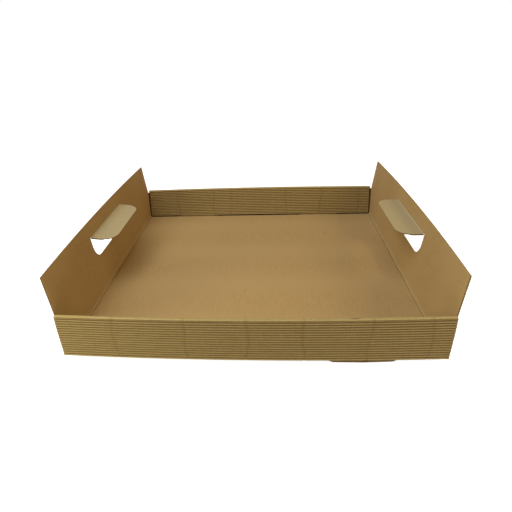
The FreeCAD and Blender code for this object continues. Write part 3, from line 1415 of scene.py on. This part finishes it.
@dataclass
class HandleFlap:
    """A flap of the same board, hinged on the top edge of its hand hole."""

    maker: SheetMaker
    side: Side
    droop_deg: float
    play: float = 0.5
    hinge_play: float = 0.3
    crease_above: float = 1.4
    crease_below: float = 0.9
    crease_lift: float = 0.5
    crease_proud: float = 0.02
    outline: HandHole = field(init=False)

    def __post_init__(self) -> None:
        """Takes the flap's outline from its hand hole."""
        self.outline = HandHole(self.maker)

    @property
    def hinge(self) -> tuple[float, float]:
        """X and Z of the hinge line."""
        z = TRAY.floor_under + self.outline.top
        return self.side.value * (TRAY.panel_outer_x(self.outline.length / 2, z) - BOARD.thickness), z

    def swung(self, out: float, y: float, down: float) -> Point:
        """A point of the hanging flap, given outwards and down from the hinge, after its swing.

        Args:
            out: Distance outwards from the hinge.
            y: Place along it.
            down: Distance down from it.

        Returns:
            The point in millimetres.
        """
        angle = self.side.value * math.radians(90 - self.droop_deg)
        x, z = self.side.value * out, -down
        hinge_x, hinge_z = self.hinge
        return (
            hinge_x + x * math.cos(angle) + z * math.sin(angle),
            y,
            hinge_z - x * math.sin(angle) + z * math.cos(angle),
        )

    def build(self) -> list[bpy.types.Object]:
        """Adds the flap's two papers, cut to the hole's outline less its play.

        Returns:
            The two papers.
        """
        half = self.outline.length / 2 - self.play
        height = self.outline.top - self.outline.bottom - self.play
        radius = self.outline.corner_radius - self.play

        def low_at(y: float) -> float:
            """Distance from the hinge to the free edge at y."""
            over = max(abs(y) - (half - radius), 0.0)
            return height - radius + math.sqrt(max(radius ** 2 - over ** 2, 0.0))

        def place(share: float, y: float, extra: float, flutes: bool) -> Point:
            """A point of the flap, from the hinge at share 0 to the free edge at 1."""
            down = self.hinge_play + (low_at(y) - self.hinge_play) * share
            out = (BOARD.height(BOARD.valley(y + half, 2 * half)) if flutes else 0.0) + extra
            return self.swung(out, y, down)

        pieces = []
        rows = BOARD.stations(-half, half)
        columns = spread(0, 1, 10)
        # The liner side takes the paler copy of the liner's tones, as painted light.
        for layer, finish, flutes in ((Layer.FLUTES, "flutes", True), (Layer.LINER, "flap_liner", False)):
            name = f"{self.side.label}_{'flap_flutes' if flutes else finish}"
            sheet = self.maker.sheet(name, columns, rows, partial(place, flutes=flutes), layer, finish)
            self.maker.thicken(sheet)
            self.maker.smooth(sheet)
            self.maker.paint(sheet, "ridge", lambda x, y, z: 1 - BOARD.valley(
                min(max(y + half, 0.0), 2 * half), 2 * half))
            # Painted shade on the fluted paper's near edge.
            self.maker.paint(sheet, "gap", lambda x, y, z, f=flutes: 0.6 * (f and y < 1 - half))
            pieces.append(sheet)
        return pieces

    def crease(self) -> bpy.types.Object:
        """The strip of liner that the flap turns on, raised to a soft bead in the corner.

        Returns:
            The strip.
        """
        half = self.outline.length / 2 - self.play
        hinge_x, hinge_z = self.hinge
        above, below, lift = self.crease_above, self.crease_below, self.crease_lift
        inward = Vector(self.swung(0.0, 0.0, 1.0)) - Vector(self.swung(0.0, 0.0, 0.0))

        def place(share: float, y: float, extra: float) -> Point:
            """A point of the strip, on a curve from the panel over the bead to the flap."""
            panel = TRAY.panel_outer_x(y, hinge_z + above) - BOARD.thickness - self.crease_proud
            start = Vector((self.side.value * panel, y, hinge_z + above))
            end = Vector((hinge_x, y, hinge_z + self.crease_proud)) + inward * below
            corner = Vector((hinge_x, y, hinge_z)) + inward * lift + Vector((0, 0, lift))
            spot = start * (1 - share) ** 2 + corner * 2 * share * (1 - share) + end * share ** 2
            spot -= (inward + Vector((0, 0, 1))).normalized() * extra
            return tuple(spot)

        columns, rows = spread(0, 1, 8), spread(-half, half, 40)
        name = f"{self.side.label}_flap_crease"
        # The strip takes the paler copy of the liner's tones, as painted light.
        strip = self.maker.sheet(name, columns, rows, place, Layer.LINER, "flap_liner")
        self.maker.thicken(strip)
        self.maker.smooth(strip)
        # Rubbed wear with a painted highlight low on the crease.
        self.maker.paint(strip, "rub", lambda x, y, z: 0.5 * (z < hinge_z + 0.6))
        # Painted shade in the crease's groove above the hinge.
        self.maker.paint(strip, "gap", lambda x, y, z: 0.4 * (z > hinge_z + 0.7))
        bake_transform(strip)
        return strip


@dataclass
class PhotoCamera:
    """The camera that the photograph was taken with, fitted to the tray's corners."""

    place_mm: tuple[float, float, float] = (22.757, -558.387, 319.444)
    pitch_deg: float = 29.231
    yaw_deg: float = 5.129
    roll_deg: float = 2.848
    focal_px: float = 424.12
    centre_px: tuple[float, float] = (236.956, 266.640)
    image_px: int = 512
    sensor_mm: float = 36.0

    def build(self) -> bpy.types.Object:
        """Adds the camera and makes it the scene's own.

        Returns:
            The camera.
        """
        pitch, yaw, roll = (math.radians(a) for a in (self.pitch_deg, self.yaw_deg, self.roll_deg))
        turn = Matrix.Rotation(yaw, 3, "Z")
        forward = turn @ Vector((0, math.cos(pitch), -math.sin(pitch)))
        level = turn @ Vector((1, 0, 0))
        down = forward.cross(level)
        right = math.cos(roll) * level + math.sin(roll) * down
        up = math.sin(roll) * level - math.cos(roll) * down
        data = bpy.data.cameras.new("photo_camera")
        data.sensor_width = self.sensor_mm
        data.lens = self.focal_px / self.image_px * self.sensor_mm
        half = self.image_px / 2
        data.shift_x = (half - self.centre_px[0]) / self.image_px
        data.shift_y = (self.centre_px[1] - half) / self.image_px
        data.clip_start = 0.01
        data.clip_end = 50.0
        camera = bpy.data.objects.new("photo_camera", data)
        bpy.context.scene.collection.objects.link(camera)
        facing = Matrix((right, up, -forward)).transposed().to_4x4()
        camera.matrix_world = Matrix.Translation(Vector(self.place_mm) * MM) @ facing
        bpy.context.scene.camera = camera
        return camera


@dataclass(frozen=True)
class Lamp:
    """A square soft lamp, sizes in metres."""

    name: str
    place: tuple[float, float, float]
    size: float
    watts: float
    colour: tuple[float, float, float]
    aim: tuple[float, float, float] = (0.0, 0.0, 0.0)

    def build(self) -> None:
        """Adds the lamp."""
        data = bpy.data.lights.new(self.name, "AREA")
        data.size = self.size
        data.energy = self.watts
        data.color = self.colour
        lamp = bpy.data.objects.new(self.name, data)
        bpy.context.scene.collection.objects.link(lamp)
        lamp.location = self.place
        lamp.rotation_euler = (Vector(self.aim) - Vector(self.place)).to_track_quat("-Z", "Y").to_euler()
        lamp.visible_camera = False


@dataclass
class Studio:
    """White floor and surround, and the soft lamps."""

    floor_size: float = 2.4
    floor_glow: float = 0.86
    floor_grey: Colour = (0.8, 0.8, 0.8, 1.0)
    world_tint: Colour = (0.13, 0.07, 0.04, 1.0)
    world_white: Colour = (1.0, 1.0, 1.0, 1.0)
    lamps: tuple[Lamp, ...] = (
        Lamp("top_lamp", (-0.5, -0.35, 1.3), 1.5, 14.8, (0.7, 0.84, 1.0)),
        Lamp("near_lamp", (-0.3, -0.25, 0.7), 0.3, 1.5, (0.85, 0.98, 1.0)),
        Lamp("right_lamp", (1.1, -0.4, 1.1), 0.6, 5.5, (1.0, 0.88, 0.4)),
        Lamp("low_left_lamp", (-0.55, -0.43, 0.25), 0.2, 1.65, (0.94, 1.0, 0.75), (-0.2, -0.2, 0.03)),
        Lamp("low_right_lamp", (0.55, -0.42, 0.25), 0.2, 0.7, (0.85, 0.95, 1.0), (0.2, -0.2, 0.03)),
    )

    def build(self) -> None:
        """Adds the floor, the world and the lamps."""
        bpy.ops.object.select_all(action="DESELECT")
        bpy.ops.mesh.primitive_plane_add(size=self.floor_size, location=(0, 0, 0))
        floor = bpy.context.active_object
        floor.name = "studio_floor"
        floor.data.materials.append(self.floor_material())
        self.set_world()
        for lamp in self.lamps:
            lamp.build()

    @staticmethod
    def seen(kit: NodeKit) -> bpy.types.NodeSocket:
        """One for rays that show the backdrop: from the camera, off gloss or through glass.

        Args:
            kit: The node kit of the material or the world.

        Returns:
            The mask.
        """
        path = kit.add("LightPath").outputs
        either = kit.math("MAXIMUM", path["Is Camera Ray"], path["Is Glossy Ray"])
        return kit.math("MAXIMUM", either, path["Is Transmission Ray"])

    def floor_material(self) -> bpy.types.Material:
        """White to the camera, and still darker where the tray's shadow falls.

        Returns:
            The material.
        """
        material = bpy.data.materials.new("studio_floor")
        material.use_nodes = True
        kit = NodeKit(material.node_tree)
        material.node_tree.nodes.clear()
        base = kit.add("BsdfDiffuse")
        base.inputs["Color"].default_value = self.floor_grey
        glow = kit.add("Emission")
        kit.link(kit.math("MULTIPLY", self.seen(kit), self.floor_glow), glow.inputs["Strength"])
        both = kit.add("AddShader")
        kit.link(base.outputs[0], both.inputs[0])
        kit.link(glow.outputs[0], both.inputs[1])
        kit.link(both.outputs[0], kit.add("OutputMaterial").inputs["Surface"])
        return material

    def set_world(self) -> None:
        """An even white surround that lights the tray less than it shows."""
        world = bpy.data.worlds.new("studio_world")
        bpy.context.scene.world = world
        world.use_nodes = True
        kit = NodeKit(world.node_tree)
        world.node_tree.nodes.clear()
        around = kit.add("Background")
        kit.link(kit.mix(self.seen(kit), self.world_tint, self.world_white), around.inputs["Color"])
        kit.link(around.outputs[0], kit.add("OutputWorld").inputs["Surface"])


def dress(piece: bpy.types.Object, body: str, slot: Slot, node: str) -> None:
    """Attaches a piece to the body it rides on and hides the solid it stands for.

    Args:
        piece: The finished piece.
        body: The moving body that carries it.
        slot: Not used.
        node: The solid that it replaces.
    """
    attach(piece, body)
    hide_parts(node)
    log.info("%s: %d faces", piece.name, len(piece.data.polygons))


def main() -> None:
    """Builds the tray piece by piece."""
    scene = bpy.context.scene
    scene.view_settings.view_transform = "Standard"
    PhotoCamera().build()
    Studio().build()
    groups = PaperGroups()
    maker = SheetMaker({finish.name: finish.material(groups) for finish in FINISHES})
    board = FloorAndPanels(maker).build()
    front_lines = (-146.0, -68.0, -2.0, 57.0, 125.0, 188.0)
    back_lines = (-150.0, -83.0, -50.0, 53.0, 117.0, 185.0)
    front_dents = (108.2,)
    board += RolledWall(maker, End.FRONT, 121.5, 0.8, front_lines, front_dents).build()
    board += RolledWall(maker, End.BACK, 115.0, 5.0, back_lines).build()
    for side in Side:
        for end in End:
            board += CornerFlap(maker, side, end).build()
    for piece in board:
        dress(piece, "tray", Slot.BOARD, "tray_sheet")
    for side, droop_deg in ((Side.LEFT, 6.0), (Side.RIGHT, 0.0)):
        flap = HandleFlap(maker, side, droop_deg)
        for piece in flap.build():
            dress(piece, f"{side.label}_flap", Slot.FLAP, f"{side.label}_handle_flap")
        crease = flap.crease()
        log.info("%s: %d faces", crease.name, len(crease.data.polygons))


if __name__ == "__main__":
    main()
